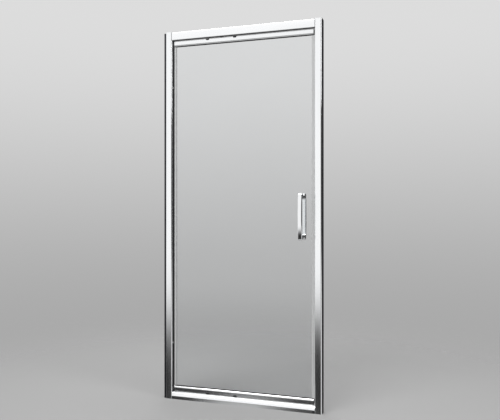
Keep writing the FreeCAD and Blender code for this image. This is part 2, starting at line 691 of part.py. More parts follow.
def hinge_edge_seal():
    """Clear seal on the glass edge beside the pivot, with a hollow soft nose."""
    body = new_body("hinge_edge_seal")
    section = sketch(body, "XY_Plane", "SealSection", seal_low)
    nose = [("seal_nose", seal_half), ("seal_reach - seal_wall", "seal_wall"),
            ("seal_reach", "seal_wall / 3"), ("seal_reach", "-seal_wall / 3"),
            ("seal_reach - seal_wall", "-seal_wall"), ("seal_nose", f"-{seal_half}")]
    outline(section, [(outward(glass_start, HINGE_SIDE, a), y) for a, y in clip_corners() + nose])
    hollow = [("seal_nose", f"({half_glass} - seal_wall)"), ("seal_reach - 2 * seal_wall", "seal_wall / 3"),
              ("seal_reach - 2 * seal_wall", "-seal_wall / 3"), ("seal_nose", f"-({half_glass} - seal_wall)")]
    outline(section, [(outward(glass_start, HINGE_SIDE, a), y) for a, y in hollow])
    pad(body, section, f"{seal_high} - {seal_low}", "Strip")
    nodes.append(body)


def strike_edge_seal():
    """Clear seal on the closing edge, with a chamber for the leaf's magnet."""
    body = new_body("strike_edge_seal")
    section = sketch(body, "XY_Plane", "SealSection", seal_low)
    end = "magnet_deep + 2 * magnet_skin"
    outline(section, [(outward(glass_end, STRIKE_SIDE, a), y) for a, y in
                      clip_corners() + [(end, seal_half), (end, f"-{seal_half}")]])
    near = outward(glass_end, STRIKE_SIDE, "magnet_skin")
    far = outward(glass_end, STRIKE_SIDE, "magnet_skin + magnet_deep")
    box_outline(section, near, far, "-magnet_wide / 2", "magnet_wide / 2")
    pad(body, section, f"{seal_high} - {seal_low}", "Strip")
    nodes.append(body)
    magnet = new_body("leaf_magnet")
    bar = sketch(magnet, "XY_Plane", "MagnetSection", seal_low)
    box_outline(bar, near, far, "-magnet_wide / 2", "magnet_wide / 2")
    pad(magnet, bar, f"{seal_high} - {seal_low}", "Bar")
    nodes.append(magnet)


def drip_seal(label, start, finish):
    """Two-finned strip clipped in the bottom rail's channel, down to the threshold."""
    body = new_body(label)
    base_half = f"({hardware_half} - slide_gap)"
    neck_half = "(rail_mouth / 2 - slide_gap)"
    base_low = "(door_rail_height - rail_lip - slide_gap - drip_fin)"
    base_high = "(door_rail_height - rail_lip - slide_gap)"
    tip = "(door_rail_height + drip_reach)"
    fin_inner = f"({neck_half} - drip_fin)"
    half = [(fin_inner, "door_rail_height"), (fin_inner, tip), (neck_half, tip), (neck_half, base_high),
            (base_half, base_high), (base_half, base_low)]
    corners = half + [(f"-{y}", q) for y, q in half[::-1]]
    section = sketch(body, "YZ_Plane", "DripSection", start)
    outline(section, [(y, from_glass(False, q)) for y, q in corners])
    pad(body, section, f"{finish} - {start}", "Strip")
    nodes.append(body)


# ---- Pivots
def pivot_carrier(label, upper, bore):
    """Moulded carrier in a leaf rail's hardware channel. Two lugs clip over the rail."""
    body = new_body(label)
    floor = f"({hardware_floor} + slide_gap)"
    core = f"({hardware_floor} + slide_gap + carrier_height)"
    crown = "(door_rail_height + carrier_strap)"
    wide = f"({hardware_half} - slide_gap)"
    narrow = "(rail_mouth / 2 - slide_gap)"
    half = [(wide, floor), (wide, core), (narrow, core), (narrow, crown)]
    section = sketch(body, "YZ_Plane", "CoreSection", pivot_x)
    outline(section, [(y, from_glass(upper, q)) for y, q in half + [(f"-{y}", q) for y, q in half[::-1]]])
    pad(body, section, "carrier_length", "Core", both=True)
    boss = sketch(body, "XY_Plane", "BossOutline", from_glass(upper, core))
    ring(boss, pivot_x, "0", f"(2 * {wide})")
    pad(body, boss, f"{crown} - {core}", "Boss", reverse=not upper)
    inner = f"({rail_half} + slide_gap)"
    outer = f"({rail_half} + slide_gap + carrier_strap)"
    low = "(door_rail_height - lug_drop)"
    for sign, name in (("-", "HingeLugs"), ("+", "StrikeLugs")):
        middle = f"({pivot_x} {sign} (carrier_length - lug_width) / 2)"
        lug = sketch(body, "YZ_Plane", f"{name}Section", middle)
        half = [(inner, "door_rail_height"), (inner, low), (outer, low), (outer, crown)]
        outline(lug, [(y, from_glass(upper, q)) for y, q in half + [(f"-{y}", q) for y, q in half[::-1]]])
        last = pad(body, lug, "lug_width", name, both=True)
    spots = [FreeCAD.Vector(number(f"{pivot_x} {sign} (carrier_length / 2 - {inset})"), 0,
                            number(from_glass(upper, low))) for sign in "-+" for inset in ("0", "lug_width")]
    rounded = soften(body, last, "lug_round", straight_edges(last.Shape, Y_AXIS, spots), "LugCorners")
    holes = sketch(body, "XY_Plane", "BoreOutline", from_glass(upper, crown))
    ring(holes, pivot_x, "0", bore)
    pocket(body, holes, f"{crown} - {floor}", "Bore", reverse=not upper)
    shanks = sketch(body, "XY_Plane", "ScrewHoleOutline", from_glass(upper, crown))
    heads = sketch(body, "XY_Plane", "HeadOutline", from_glass(upper, crown))
    for sign in "-+":
        ring(shanks, f"({pivot_x} {sign} carrier_screw)", "0", screw_hole)
        ring(heads, f"({pivot_x} {sign} carrier_screw)", "0", "screw_head + 2 * slide_gap")
    pocket(body, shanks, f"{crown} - {floor}", "ScrewHoles", reverse=not upper)
    pocket(body, heads, f"{crown} - {core}", "HeadRecesses", reverse=not upper)
    nodes.append(body)


def pivot_block(label, low, width, bore):
    """Metal block in the frame that carries the pivot."""
    body = new_body(label)
    plan = sketch(body, "XY_Plane", "BlockPlan", low)
    box_outline(plan, f"({pivot_x} - block_length / 2)", f"({pivot_x} + block_length / 2)",
                f"-({width}) / 2", f"({width}) / 2")
    ring(plan, pivot_x, "0", bore)
    for sign in "-+":
        ring(plan, f"({pivot_x} {sign} block_screw)", "0", screw_hole)
    pad(body, plan, "block_height", "Block")
    nodes.append(body)


def pivot_bush(label, seat, length, closed):
    """Flanged bush that rises from its seat. A floor closes the upper end where it carries
    the leaf."""
    body = new_body(label)
    half = sketch(body, "XZ_Plane", "BushHalf")
    bore = f"({pin_bore} / 2)"
    outer = f"({bush_outer} / 2)"
    edge = f"({bush_outer} / 2 + flange_wall)"
    rise = [(bore, "-flange_thick"), (edge, "-flange_thick"), (edge, "0"), (outer, "0"), (outer, length)]
    if closed:
        ceiling = f"({length} - flange_thick)"
        rise += [("0", length), ("0", ceiling), (bore, ceiling)]
    else:
        rise += [(bore, length)]
    outline(half, [(x, f"({seat} + ({z}))") for x, z in rise])
    turned(body, half, "Bush")
    bind(body, "Placement.Base.x", pivot_x)
    nodes.append(body)


def pivot_pin(label, low, high):
    """Plain pin with bevelled ends."""
    body = new_body(label)
    half = sketch(body, "XZ_Plane", "PinHalf")
    radius = "(pin_diameter / 2)"
    outline(half, [("0", low), (f"({radius} - slide_gap)", low), (radius, f"({low} + slide_gap)"),
                   (radius, f"({high} - slide_gap)"), (f"({radius} - slide_gap)", high), ("0", high)])
    turned(body, half, "Pin")
    bind(body, "Placement.Base.x", pivot_x)
    nodes.append(body)


# ---- Screws
def screw(name, diameter, length, head, tall):
    """Cheese-head screw with its head up and its seat at height 0."""
    body = new_body(name)
    half = sketch(body, "XZ_Plane", "ScrewHalf")
    outline(half, [("0", f"-({length})"), (f"{diameter} / 2", f"-({length})"), (f"{diameter} / 2", "0"),
                   (f"{head} / 2", "0"), (f"{head} / 2", tall), ("0", tall)])
    turned(body, half, "Screw")
    return body


def countersunk_screw(name, diameter, length, head):
    """Countersunk screw with its flat head at height 0."""
    body = new_body(name)
    half = sketch(body, "XZ_Plane", "ScrewHalf")
    outline(half, [("0", f"-({length})"), (f"{diameter} / 2", f"-({length})"),
                   (f"{diameter} / 2", f"-({head} - {diameter}) / 2"), (f"{head} / 2", "0"), ("0", "0")])
    turned(body, half, "Screw")
    return body


def nut_block(name):
    body = new_body(name)
    face = sketch(body, "YZ_Plane", "BlockFace")
    box_outline(face, "-nut_block_wide / 2", "nut_block_wide / 2",
                "-nut_block_tall / 2", "nut_block_tall / 2")
    ring(face, "0", "0", "lock_screw + 2 * press_gap")
    pad(body, face, "nut_block_deep", "Block")
    return body


# ---- Pull handles
def pull_handle(label, side):
    """A bowed pull: two feet on the glass and a bar whose outer face is arched."""
    body = new_body(label)
    sign = "-" if side < 0 else ""
    foot = f"({half_glass} + handle_pad)"
    bar_inner = f"({half_glass} + handle_reach - handle_bar)"
    bar_outer = f"({half_glass} + handle_reach - handle_arch)"
    heel = "(handle_spacing / 2 + handle_foot / 2)"
    clear = "(handle_spacing / 2 - handle_foot / 2)"
    shoulder_up = "(handle_length / 2 - handle_tip / 8)"
    tip_start = "(handle_length / 2 - handle_tip)"
    arch = "((handle_length - 2 * handle_tip) ^ 2 / (8 * handle_arch) + handle_arch / 2)"

    def place(away, up, *arc):
        return (f"{sign}{away}", f"(handle_height {up})") + arc

    profile = sketch(body, "YZ_Plane", "SideProfile", handle_x)
    outline(profile, [
        place(foot, f"- {heel}"), place(bar_inner, f"- {shoulder_up}", "handle_tip_bow", side),
        place(bar_outer, f"- {tip_start}", arch, side),
        place(bar_outer, f"+ {tip_start}", "handle_tip_bow", side),
        place(bar_inner, f"+ {shoulder_up}"), place(foot, f"+ {heel}"), place(foot, f"+ {clear}"),
        place(bar_inner, f"+ {clear}"), place(bar_inner, f"- {clear}"), place(foot, f"- {clear}")])
    bar = pad(body, profile, "handle_width", "Bar", both=True)
    inner_y = number(f"{sign}{bar_inner}")
    spots = [FreeCAD.Vector(0, inner_y, number(f"handle_height {up} {clear}")) for up in "-+"]
    cornered = soften(body, bar, "handle_corner", straight_edges(bar.Shape, X_AXIS, spots), "InnerCorners")
    foot_y = number(f"{sign}{foot}")
    rims = []
    for index, edge in enumerate(cornered.Shape.Edges, start=1):
        middle = edge.CenterOfMass
        beside_grip = abs(middle.z - number("handle_height")) < number("handle_spacing / 2")
        is_outside = abs(middle.y) > abs(inner_y) + 1e-3 or not beside_grip
        if edge.BoundBox.XLength < 1e-3 and is_outside and abs(middle.y - foot_y) > 1e-3:
            rims.append(f"Edge{index}")
    soften(body, cornered, "handle_round", rims, "OuterEdges")
    sockets = sketch(body, "XZ_Plane", "SocketOutline", f"{foot}" if side < 0 else f"-{foot}")
    for up in "-+":
        ring(sockets, handle_x, f"(handle_height {up} handle_spacing / 2)", "stud_diameter + 2 * press_gap")
    pocket(body, sockets, "stud_bite + slide_gap", "Sockets", reverse=(side < 0))
    nodes.append(body)


def handle_hardware():
    """Pads, sleeves and studs that hold the two handles to the glass."""
    pad_body = new_body("handle_pad_master")
    plan = sketch(pad_body, "XZ_Plane", "PadOutline")
    pad_wide = "(handle_width / 2 - pad_inset)"
    pad_tall = "(handle_foot / 2 - pad_inset)"
    box_outline(plan, f"-{pad_wide}", pad_wide, f"-{pad_tall}", pad_tall)
    ring(plan, "0", "0", "stud_diameter + 2 * press_gap")
    pad(pad_body, plan, "handle_pad", "Pad")
    feet = [f"(handle_height {up} handle_spacing / 2)" for up in "-+"]
    copies("handle_pads", pad_body, [((handle_x, y, z), AS_MADE) for z in feet
                                     for y in (f"-{half_glass}", f"({half_glass} + handle_pad)")])
    sleeve = new_body("handle_sleeve_master")
    tube = sketch(sleeve, "XZ_Plane", "SleeveSection")
    ring(tube, "0", "0", "glass_hole - 2 * press_gap")
    ring(tube, "0", "0", "stud_diameter + 2 * press_gap")
    pad(sleeve, tube, "glass_thickness", "Tube", both=True)
    copies("handle_sleeves", sleeve, [((handle_x, "0", z), AS_MADE) for z in feet])
    stud = new_body("handle_stud_master")
    rod = sketch(stud, "XZ_Plane", "StudSection")
    ring(rod, "0", "0", "stud_diameter")
    pad(stud, rod, "glass_thickness + 2 * handle_pad + 2 * stud_bite", "Rod", both=True)
    copies("handle_studs", stud, [((handle_x, "0", z), AS_MADE) for z in feet])


# ---- The frame
wall_profile("hinge_wall_profile", hinge_face, HINGE_SIDE, "hinge_reveal")
wall_profile("strike_wall_profile", strike_face, STRIKE_SIDE, "strike_reveal")
jamb("hinge_jamb", hinge_face, HINGE_SIDE)
jamb("strike_jamb", strike_face, STRIKE_SIDE)
jamb_cap("hinge_jamb_cap", hinge_face, HINGE_SIDE)
jamb_cap("strike_jamb_cap", strike_face, STRIKE_SIDE)
top_rail()
top_rail_seal()
threshold()
threshold_end("threshold_hinge_end", hinge_face)
threshold_end("threshold_strike_end", f"({strike_face} - end_length)")
jamb_strip("hinge_jamb_strip", hinge_face, HINGE_SIDE, "edge_gap - seal_reach - seal_gap", "-")
jamb_strip("strike_jamb_magnet", strike_face, STRIKE_SIDE,
           "edge_gap - magnet_deep - 2 * magnet_skin - seal_gap", "")

frame_screw = screw("frame_screw_master", "screw_diameter", "frame_screw", "screw_head", "screw_head_tall")
frame_seats = (
    (outward(hinge_face, HINGE_SIDE, "jamb_web"), HEAD_TO_HINGE),
    (outward(strike_face, STRIKE_SIDE, "jamb_web"), HEAD_TO_STRIKE))
copies("frame_corner_screws", frame_screw, [
    ((x, f"{sign}port_offset", height), turn)
    for x, turn in frame_seats for sign in ("-", "") for height in (top_port, low_port)])

# The profile screws reach both nut blocks at either end of the width adjustment.
lock_length = "jamb_face + strike_reveal - channel_back - slide_gap"
lock_screw = screw("profile_screw_master", "lock_screw", lock_length, "lock_head", "lock_head_tall")
lock_heights = ("lock_end", "overall_height - lock_end")
lock_seats = ((hinge_face, HEAD_TO_STRIKE), (strike_face, HEAD_TO_HINGE))
copies("profile_screws", lock_screw, [
    ((face, "-port_offset", height), turn) for face, turn in lock_seats for height in lock_heights])
hinge_back = outward(hinge_face, HINGE_SIDE, "jamb_face + hinge_reveal - channel_back")
strike_back = outward(strike_face, STRIKE_SIDE, "jamb_face + strike_reveal - channel_back")
copies("profile_nut_blocks", nut_block("nut_block_master"), [
    ((x, "-port_offset", height), AS_MADE)
    for x in (hinge_back, f"({strike_back} - nut_block_deep)") for height in lock_heights])

# ---- The pivots: blocks, bushes and pins
bottom_block = "(threshold_height - threshold_wall - block_height)"
carrier_crown = f"({leaf_bottom} - carrier_strap)"
carrier_deep = f"(carrier_strap + door_rail_height - {hardware_floor} - slide_gap)"
bush_rise = f"({carrier_deep} - slide_gap)"
chamber_width = "frame_depth - 2 * rail_wall - 2 * slide_gap"
pivot_block("top_pivot_block", f"({rail_under} + rail_wall)", chamber_width, bush_hole)
pivot_bush("top_pivot_bush", rail_under, "(rail_wall + block_height)", False)
pivot_block("bottom_pivot_block", bottom_block, "block_width", "pin_diameter + 2 * press_gap")
pivot_pin("bottom_pivot_pin", bottom_block, f"({carrier_crown} + {bush_rise} - flange_thick - slide_gap)")
block_screw = countersunk_screw("block_screw_master", "screw_diameter", "block_screw_length", "screw_head")
copies("pivot_block_screws", block_screw, [
    ((f"{pivot_x} {sign} block_screw", "0", height), turn)
    for height, turn in ((rail_under, HEAD_DOWN), ("threshold_height", AS_MADE)) for sign in "-+"])

# ---- The leaf
glass_panel()
door_rail("leaf_top_rail", True)
door_rail("leaf_bottom_rail", False)
rail_end_caps("leaf_top_rail_caps", True)
rail_end_caps("leaf_bottom_rail_caps", False)
glazing_gasket("top_glazing_gasket", True)
glazing_gasket("bottom_glazing_gasket", False)
hinge_edge_seal()
strike_edge_seal()
drip_seal("hinge_drip_seal", glass_start, f"({pivot_x} - carrier_length / 2 - slide_gap)")
drip_seal("strike_drip_seal", f"({pivot_x} + carrier_length / 2 + slide_gap)", glass_end)

pivot_carrier("top_pivot_carrier", True, "(pin_diameter + 2 * press_gap)")
pivot_carrier("bottom_pivot_carrier", False, bush_hole)
pivot_pin("top_pivot_pin", f"({leaf_top} + carrier_strap - {carrier_deep})", f"({rail_under} + pin_engage)")
pivot_bush("bottom_pivot_bush", carrier_crown, bush_rise, True)
carrier_screw = screw(
    "carrier_screw_master", "screw_diameter", "carrier_screw_length", "screw_head", "screw_head_tall")
carrier_seat = f"{hardware_floor} + slide_gap + carrier_height"
copies("pivot_carrier_screws", carrier_screw, [
    ((f"{pivot_x} {sign} carrier_screw", "0", from_glass(upper, carrier_seat)), turn)
    for upper, turn in ((True, AS_MADE), (False, HEAD_DOWN)) for sign in "-+"])

pull_handle("outer_handle", -1)
pull_handle("inner_handle", 1)
handle_hardware()

# ---- Check and write
doc.recompute()
for thing in doc.Objects:
    if "Invalid" in thing.State or "Error" in thing.State:
        raise RuntimeError(f"{thing.Label} did not build: {thing.State}")
for node in nodes:
    if node.Shape.isNull() or not node.Shape.isValid():
        raise RuntimeError(f"{node.Label} has no valid shape")
for node in nodes:
    node.Shape.exportStep(f"parts/{node.Label}.step")
print(f"{len(nodes)} sub-parts written")
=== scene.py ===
import math

import bmesh
import bpy
from mathutils import Matrix, Vector


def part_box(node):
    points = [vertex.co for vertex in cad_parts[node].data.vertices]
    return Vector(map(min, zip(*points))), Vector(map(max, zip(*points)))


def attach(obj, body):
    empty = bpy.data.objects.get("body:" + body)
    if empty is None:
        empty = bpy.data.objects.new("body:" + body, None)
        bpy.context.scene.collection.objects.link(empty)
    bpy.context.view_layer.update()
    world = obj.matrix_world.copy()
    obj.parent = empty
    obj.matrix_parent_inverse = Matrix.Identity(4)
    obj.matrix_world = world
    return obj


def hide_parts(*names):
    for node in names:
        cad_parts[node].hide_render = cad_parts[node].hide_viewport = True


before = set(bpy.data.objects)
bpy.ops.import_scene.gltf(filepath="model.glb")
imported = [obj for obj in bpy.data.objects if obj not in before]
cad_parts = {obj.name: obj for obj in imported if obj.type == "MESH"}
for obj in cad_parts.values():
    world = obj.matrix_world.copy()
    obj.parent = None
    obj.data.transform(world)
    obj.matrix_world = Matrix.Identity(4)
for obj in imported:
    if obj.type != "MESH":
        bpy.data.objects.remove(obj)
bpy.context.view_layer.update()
print("frame loaded:", len(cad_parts), "nodes")


# camera, level, turned a little to the left as in the photograph
view = {"place": (1.120, -3.162, 1.040), "turnLeft": 18.7, "lens": 45.68, "sensor": 36,
        "shiftUp": -0.0041}


def makeCamera():
    lens = bpy.data.cameras.new("camera")
    lens.lens = view["lens"]
    lens.sensor_width = view["sensor"]
    lens.shift_y = view["shiftUp"]
    camera = bpy.data.objects.new("camera", lens)
    camera.location = view["place"]
    camera.rotation_euler = (math.radians(90), 0, math.radians(view["turnLeft"]))
    bpy.context.scene.collection.objects.link(camera)
    bpy.context.scene.camera = camera


# node helpers, for the materials and the world alike
def startMaterial(name):
    material = bpy.data.materials.new(name)
    material.use_nodes = True
    return material, material.node_tree.nodes["Principled BSDF"]


def addNode(owner, kind, **inputs):
    node = owner.node_tree.nodes.new(kind)
    for name, value in inputs.items():
        node.inputs[name].default_value = value
    return node


def join(owner, source, output, target, socket):
    owner.node_tree.links.new(source.outputs[output], target.inputs[socket])


# takes an output from one range to another
def addRange(owner, source, output, fromLow, fromHigh, toLow=0.0, toHigh=1.0, smooth=False):
    values = addNode(owner, "ShaderNodeMapRange")
    values.interpolation_type = "SMOOTHSTEP" if smooth else "LINEAR"
    values.inputs["From Min"].default_value = fromLow
    values.inputs["From Max"].default_value = fromHigh
    values.inputs["To Min"].default_value = toLow
    values.inputs["To Max"].default_value = toHigh
    join(owner, source, output, values, "Value")
    return values


def addMaths(owner, operation, first, firstOutput, second, secondOutput):
    maths = addNode(owner, "ShaderNodeMath")
    maths.operation = operation
    owner.node_tree.links.new(first.outputs[firstOutput], maths.inputs[0])
    owner.node_tree.links.new(second.outputs[secondOutput], maths.inputs[1])
    return maths


# 1 for what is seen in a mirroring surface, 0 for what is seen past it or through glass
def addMirrored(owner):
    ray = addNode(owner, "ShaderNodeLightPath")
    mirrored = addNode(owner, "ShaderNodeMath")
    mirrored.operation = "GREATER_THAN"
    mirrored.inputs[1].default_value = 0.5  # the depth is 0, or a whole number once mirrored
    owner.node_tree.links.new(ray.outputs["Glossy Depth"], mirrored.inputs[0])
    return mirrored


xAxis = 0
zAxis = 2
# most of a noise's values lie between these
noiseLow = 0.3
noiseHigh = 0.7


# a noise scale that differs along one axis
def stretched(across, along, axis):
    scale = [across] * 3
    scale[axis] = along
    return scale


# noise read in the piece's own place
def addNoise(material, scale, detail=3.0, roughness=0.5):
    place = addNode(material, "ShaderNodeTexCoord")
    mapping = addNode(material, "ShaderNodeMapping", Scale=scale)
    noise = addNode(material, "ShaderNodeTexNoise", Scale=1.0, Detail=detail, Roughness=roughness)
    join(material, place, "Object", mapping, "Vector")
    join(material, mapping, "Vector", noise, "Vector")
    return noise


# lets a noise move a socket between two values
def spread(material, noise, shader, socket, low, high):
    values = addRange(material, noise, "Fac", noiseLow, noiseHigh, low, high)
    join(material, values, "Result", shader, socket)


# lets a noise move a colour between two tones
def tint(material, noise, shader, socket, dark, light):
    ramp = addNode(material, "ShaderNodeValToRGB")
    ramp.color_ramp.elements[0].position = noiseLow
    ramp.color_ramp.elements[0].color = (*dark, 1)
    ramp.color_ramp.elements[1].position = noiseHigh
    ramp.color_ramp.elements[1].color = (*light, 1)
    join(material, noise, "Fac", ramp, "Fac")
    join(material, ramp, "Color", shader, socket)


def relief(material, noise, shader, strength, distance):
    bump = addNode(material, "ShaderNodeBump", Strength=strength, Distance=distance)
    join(material, noise, "Fac", bump, "Height")
    join(material, bump, "Normal", shader, "Normal")


# extruded aluminium, polished along its length: fine drawn lines and slow changes of gloss
def drawnAluminium(name, axis, dark, light, glossLow, glossHigh):
    material, shader = startMaterial(name)
    shader.inputs["Metallic"].default_value = 1.0
    lines = addNoise(material, stretched(across=1400.0, along=3.0, axis=axis), detail=2.0)
    clouds = addNoise(material, stretched(across=18.0, along=1.6, axis=axis), detail=4.0)
    tint(material, clouds, shader, "Base Color", dark, light)
    spread(material, clouds, shader, "Roughness", glossLow, glossHigh)
    relief(material, lines, shader, strength=0.04, distance=0.00003)
    return material


# chrome plate, with a faint film of uneven gloss
def polishedChrome(name):
    material, shader = startMaterial(name)
    shader.inputs["Metallic"].default_value = 1.0
    film = addNoise(material, scale=(26.0, 26.0, 14.0), detail=5.0, roughness=0.6)
    tint(material, film, shader, "Base Color", dark=(0.86, 0.87, 0.88), light=(0.92, 0.93, 0.94))
    spread(material, film, shader, "Roughness", low=0.03, high=0.09)
    return material


# stainless steel with fine tool marks
def turnedSteel(name):
    material, shader = startMaterial(name)
    shader.inputs["Metallic"].default_value = 1.0
    marks = addNoise(material, scale=(900.0, 900.0, 2600.0), detail=2.0)
    tint(material, marks, shader, "Base Color", dark=(0.50, 0.50, 0.51), light=(0.64, 0.64, 0.65))
    spread(material, marks, shader, "Roughness", low=0.22, high=0.36)
    relief(material, marks, shader, strength=0.1, distance=0.00003)
    return material


# plastic or rubber with the fine grain of its mould
def mouldedPlastic(name, dark, light, glossLow, glossHigh):
    material, shader = startMaterial(name)
    grain = addNoise(material, scale=(1500.0, 1500.0, 1500.0), detail=2.0)
    tint(material, grain, shader, "Base Color", dark, light)
    spread(material, grain, shader, "Roughness", glossLow, glossHigh)
    relief(material, grain, shader, strength=0.15, distance=0.00005)
    return material


# clear extruded vinyl, with faint streaks along its length
def clearVinyl(name, axis):
    material, shader = startMaterial(name)
    streaks = addNoise(material, stretched(across=500.0, along=2.0, axis=axis))
    shader.inputs["Transmission Weight"].default_value = 0.35
    shader.inputs["IOR"].default_value = 1.45
    tint(material, streaks, shader, "Base Color", dark=(0.86, 0.87, 0.87), light=(0.94, 0.95, 0.95))
    spread(material, streaks, shader, "Roughness", low=0.2, high=0.36)
    return material


# toughened glass, with the faint waves that the rollers leave
def safetyGlass(name):
    material, shader = startMaterial(name)
    waves = addNoise(material, scale=(2.2, 2.2, 5.0), detail=1.0)
    shader.inputs["Transmission Weight"].default_value = 1.0
    shader.inputs["IOR"].default_value = 1.5
    shader.inputs["Roughness"].default_value = 0.0
    tint(material, waves, shader, "Base Color", dark=(0.92, 0.93, 0.935), light=(0.93, 0.94, 0.945))
    relief(material, waves, shader, strength=0.02, distance=0.0003)
    return material


# the ground edge of the pane, where the glass shows its green
def groundGlassEdge(name):
    material, shader = startMaterial(name)
    scratches = addNoise(material, scale=(700.0, 60.0, 700.0), detail=2.0)
    shader.inputs["Transmission Weight"].default_value = 0.55
    shader.inputs["IOR"].default_value = 1.5
    tint(material, scratches, shader, "Base Color", dark=(0.42, 0.60, 0.56), light=(0.55, 0.72, 0.68))
    spread(material, scratches, shader, "Roughness", low=0.22, high=0.4)
    return material


# darkest and lightest tone, and roughness from the glossiest to the dullest place
brightMetal = {"dark": (0.90, 0.91, 0.92), "light": (0.95, 0.96, 0.97),
               "glossLow": 0.08, "glossHigh": 0.16}
# near-black, so the wall profiles give the dark strip beside each jamb
blackMetal = {"dark": (0.035, 0.035, 0.04), "light": (0.05, 0.05, 0.055),
              "glossLow": 0.28, "glossHigh": 0.42}
blackMould = {"dark": (0.012, 0.012, 0.013), "light": (0.022, 0.022, 0.024),
              "glossLow": 0.38, "glossHigh": 0.55}
creamMould = {"dark": (0.66, 0.66, 0.63), "light": (0.74, 0.74, 0.71),
              "glossLow": 0.35, "glossHigh": 0.48}
blackRubber = {"dark": (0.010, 0.010, 0.011), "light": (0.018, 0.018, 0.02),
               "glossLow": 0.5, "glossHigh": 0.7}
greyStrip = {"dark": (0.50, 0.51, 0.52), "light": (0.58, 0.59, 0.6),
             "glossLow": 0.3, "glossHigh": 0.45}

materials = {
    "uprightAluminium": drawnAluminium("uprightAluminium", zAxis, **brightMetal),
    "levelAluminium": drawnAluminium("levelAluminium", xAxis, **brightMetal),
    "darkAluminium": drawnAluminium("darkAluminium", zAxis, **blackMetal),
    "chrome": polishedChrome("chrome"),
    "steel": turnedSteel("steel"),
    "darkPlastic": mouldedPlastic("darkPlastic", **blackMould),
    "bearingPlastic": mouldedPlastic("bearingPlastic", **creamMould),
    "glazingRubber": mouldedPlastic("glazingRubber", **blackRubber),
    "magnetStrip": mouldedPlastic("magnetStrip", **greyStrip),
    "uprightVinyl": clearVinyl("uprightVinyl", zAxis),
    "levelVinyl": clearVinyl("levelVinyl", xAxis),
    "safetyGlass": safetyGlass("safetyGlass"),
    "groundGlassEdge": groundGlassEdge("groundGlassEdge"),
}
print("materials made:", len(materials))


smoothBelow = math.radians(34)  # edges that turn less are shaded smoothly
sharpAbove = math.radians(50)  # edges that turn more are broken
flatBelow = math.radians(0.3)  # faces that turn less are joined
mergeWithin = 0.000002


# puts a finished form into the scene as a piece of the object
def finishPiece(form, name, body, slotName, *finishes, stands):
    for edge in form.edges:
        edge.smooth = len(edge.link_faces) == 2 and edge.calc_face_angle(0) < smoothBelow
    for face in form.faces:
        face.smooth = True
    mesh = bpy.data.meshes.new(name)
    form.to_mesh(mesh)
    form.free()
    piece = bpy.data.objects.new(name, mesh)
    for finish in finishes:
        piece.data.materials.append(materials[finish])
    bpy.context.scene.collection.objects.link(piece)
    flatter = piece.modifiers.new("flatterFaces", "WEIGHTED_NORMAL")
    flatter.keep_sharp = True
    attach(piece, body)
    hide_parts(*stands)


# a merged copy of a CAD node, shaded smoothly, with its sharp edges slightly broken
def dressedForm(node, edgeBreak=0.0):
    form = bmesh.new()
    form.from_mesh(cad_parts[node].data)
    bmesh.ops.remove_doubles(form, verts=form.verts, dist=mergeWithin)
    bmesh.ops.dissolve_limit(form, angle_limit=flatBelow, verts=form.verts, edges=form.edges)
    if edgeBreak:
        sharp = [e for e in form.edges if len(e.link_faces) == 2 and e.calc_face_angle(0) > sharpAbove]
        bmesh.ops.bevel(form, geom=sharp, offset=edgeBreak, segments=2, profile=0.5, affect="EDGES",
                        material=-1, clamp_overlap=True)
    return form


# CAD nodes that keep their own mesh
plainNodes = {
    "profile_nut_blocks": "darkPlastic", "frame_corner_screws": "steel",
    "top_pivot_block": "steel", "bottom_pivot_block": "steel",
    "top_pivot_bush": "bearingPlastic", "bottom_pivot_bush": "bearingPlastic",
    "top_pivot_pin": "steel", "bottom_pivot_pin": "steel",
    "pivot_block_screws": "steel", "pivot_carrier_screws": "steel",
    "leaf_magnet": "magnetStrip", "hinge_drip_seal": "levelVinyl", "strike_drip_seal": "levelVinyl",
    "handle_pads": "glazingRubber", "handle_sleeves": "bearingPlastic", "handle_studs": "steel",
}
for node, finish in plainNodes.items():
    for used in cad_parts[node].material_slots:
        used.material = materials[finish]

